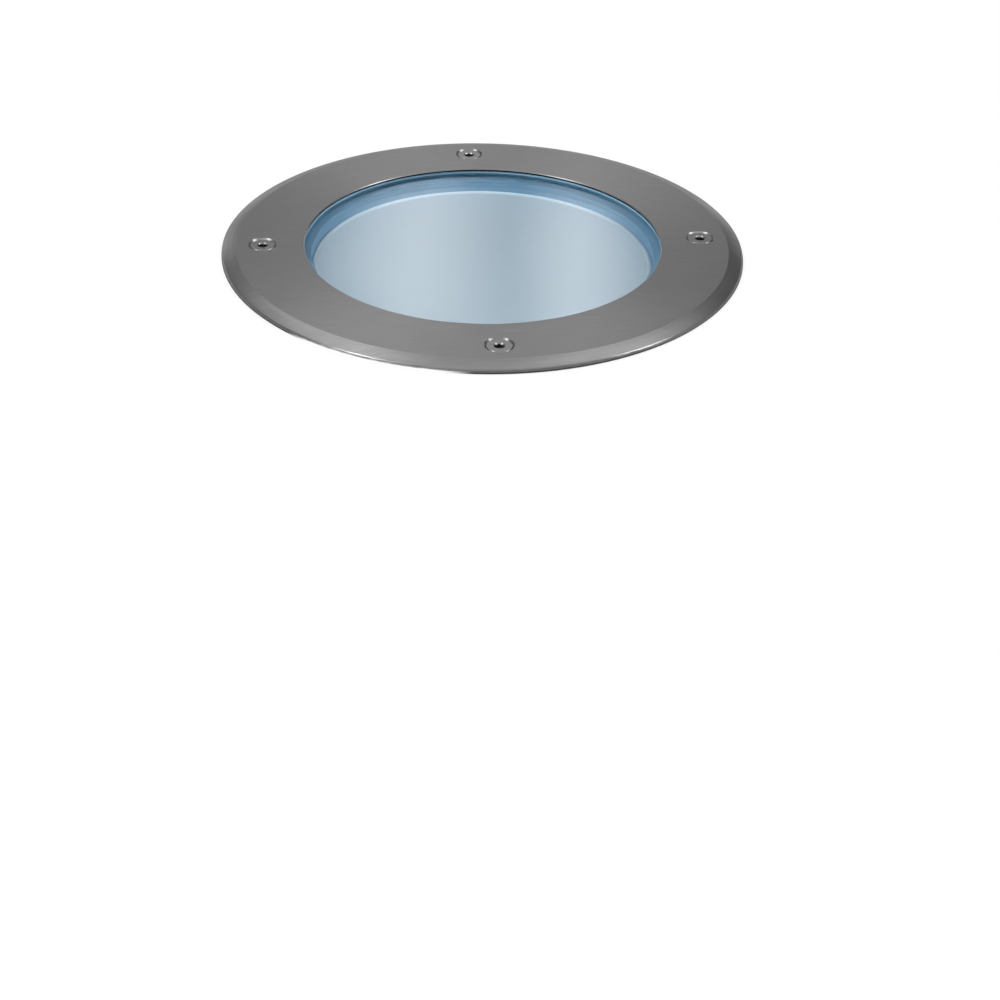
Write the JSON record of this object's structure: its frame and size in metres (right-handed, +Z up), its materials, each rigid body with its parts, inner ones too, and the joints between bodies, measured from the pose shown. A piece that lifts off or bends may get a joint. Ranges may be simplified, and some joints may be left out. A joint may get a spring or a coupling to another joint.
{
  "type": "in ground well light",
  "caption": "Round recessed ground light: countersunk-screwed stainless bezel over tempered glass, finned housing and LED gear in an open buried sleeve.",
  "frame": {"origin": "on the light's axis at ground level, the plane of the underside of the bezel rim and the top of the sleeve collar", "axes": "+Z up out of the ground along the light's axis; +X towards the first bezel screw; the cable gland lies towards -Y"},
  "size_m": [0.24, 0.24, 0.1942],
  "materials": {
    "turned_stainless": "turned, fine concentric lines",
    "stainless_screw": "cold formed, polished",
    "tempered_glass": "clear, polished, faint blue",
    "grey_silicone": "moulded, matt, blue-grey",
    "black_rubber": "moulded, matt",
    "satin_diffuser": "satin, translucent",
    "white_reflector": "moulded, white",
    "cast_housing": "die cast, powder coated",
    "rolled_aluminium": "rolled sheet, machined edge",
    "white_board": "white solder mask",
    "phosphor": "silicone over phosphor",
    "natural_nylon": "moulded, natural",
    "zinc_steel": "zinc plated",
    "gear_case": "moulded, fine grain",
    "black_nylon": "moulded, fine grain",
    "brass": "turned, knurled",
    "black_polypropylene": "moulded, satin"
  },
  "bodies": {
    "sleeve": {"installation_sleeve": "black_polypropylene", "threaded_inserts": "brass"},
    "luminaire": {"housing_body": "cast_housing", "glass_seat_gasket": "grey_silicone", "diffuser": "satin_diffuser", "reflector": "white_reflector", "heat_spreader": "rolled_aluminium", "led_board": "white_board", "led_chips": "phosphor", "led_connector": "natural_nylon", "board_screws": "stainless_screw", "spreader_screws": "stainless_screw", "driver": "gear_case", "driver_bracket": "zinc_steel", "driver_screws": "stainless_screw", "bracket_screws": "stainless_screw", "terminal_block": "natural_nylon", "terminal_screws": "zinc_steel", "earth_washer": "zinc_steel", "earth_screw": "brass", "gland_gasket": "black_rubber", "plug_gasket": "black_rubber", "vent_gasket": "black_rubber", "gland_body": "black_nylon", "gland_locknut": "black_nylon", "gland_seal": "black_rubber", "gland_dome_nut": "black_nylon", "blanking_plug": "black_nylon", "pressure_vent": "black_nylon"},
    "bezel": {"bezel_ring": "turned_stainless", "cover_glass": "tempered_glass", "lip_gasket": "grey_silicone", "screw_retainers": "natural_nylon"},
    "screw_1": {"bezel_screw_1": "stainless_screw"},
    "screw_2": {"bezel_screw_2": "stainless_screw"},
    "screw_3": {"bezel_screw_3": "stainless_screw"},
    "screw_4": {"bezel_screw_4": "stainless_screw"}
  },
  "joints": [
    {"name": "luminaire_lift", "type": "slide", "parent": "sleeve", "child": "luminaire", "axis": [0, 0, 1], "range_m": [0, 0.16]},
    {"name": "bezel_lift", "type": "slide", "parent": "luminaire", "child": "bezel", "axis": [0, 0, 1], "range_m": [0, 0.05]},
    {"name": "screw_1_turn", "type": "hinge", "parent": "bezel", "child": "screw_1", "pos_m": [0.1012, 0, 0], "axis": [0, 0, 1], "continuous": true},
    {"name": "screw_2_turn", "type": "hinge", "parent": "bezel", "child": "screw_2", "pos_m": [0, 0.1012, 0], "axis": [0, 0, 1], "continuous": true},
    {"name": "screw_3_turn", "type": "hinge", "parent": "bezel", "child": "screw_3", "pos_m": [-0.1012, 0, 0], "axis": [0, 0, 1], "continuous": true},
    {"name": "screw_4_turn", "type": "hinge", "parent": "bezel", "child": "screw_4", "pos_m": [0, -0.1012, 0], "axis": [0, 0, 1], "continuous": true}
  ]
}
